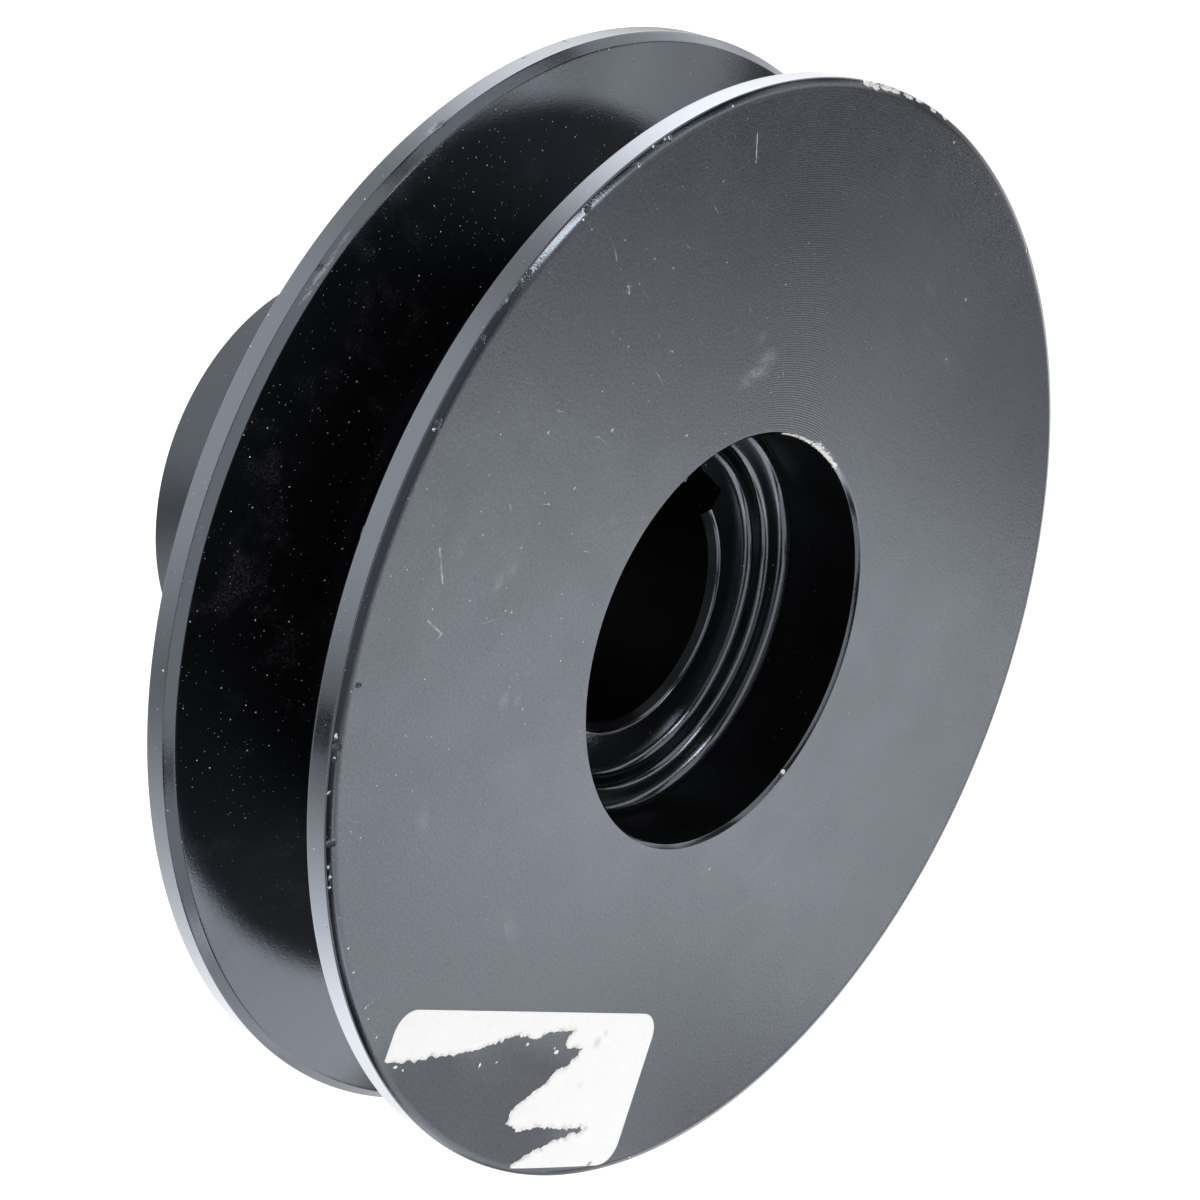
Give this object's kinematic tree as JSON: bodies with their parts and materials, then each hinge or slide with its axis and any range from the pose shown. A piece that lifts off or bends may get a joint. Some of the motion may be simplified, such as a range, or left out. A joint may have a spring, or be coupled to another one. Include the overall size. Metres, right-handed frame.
{
  "type": "spindle pulley",
  "caption": "One-piece V-belt pulley with a long keyed hub and a stepped front recess, satin black, with a torn blank paper label.",
  "frame": {"origin": "centre of the hub's end face, on the bore axis, which is what the pulley stands on", "axes": "+Z along the bore axis from the hub's end to the front face; +Y from the bore axis through the middle of the keyway"},
  "size_m": [0.1142, 0.1142, 0.0582],
  "materials": {
    "black_coating": "satin",
    "label_paper": "matte"
  },
  "bodies": {
    "root": {"pulley": "black_coating", "paper_label": "label_paper"}
  },
  "joints": []
}
